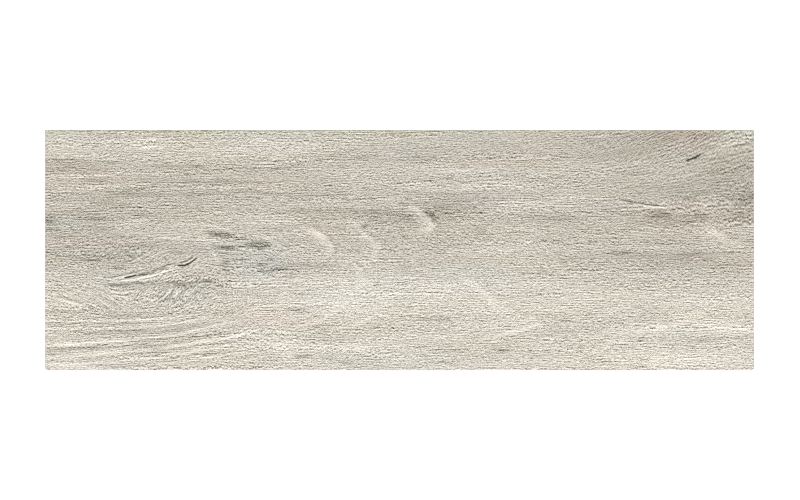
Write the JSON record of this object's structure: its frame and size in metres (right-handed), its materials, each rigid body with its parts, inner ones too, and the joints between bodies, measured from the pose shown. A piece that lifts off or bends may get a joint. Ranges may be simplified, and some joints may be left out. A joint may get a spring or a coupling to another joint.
{
  "type": "wood look porcelain plank tile",
  "caption": "Flat rectangular pressed and ground porcelain tile with a printed wood grain face, a fine bevel round it, and a shallow drafted waffle key on the back.",
  "frame": {"origin": "middle of the back, on the plane of the ribs' flat tops, which the adhesive bed or the floor touches", "axes": "+X along the plank and its wood grain, +Y across the plank, +Z out of the printed face"},
  "size_m": [0.6, 0.203, 0.009],
  "materials": {
    "porcelain": "matte"
  },
  "bodies": {
    "root": {"plank_tile": "porcelain"}
  },
  "joints": []
}
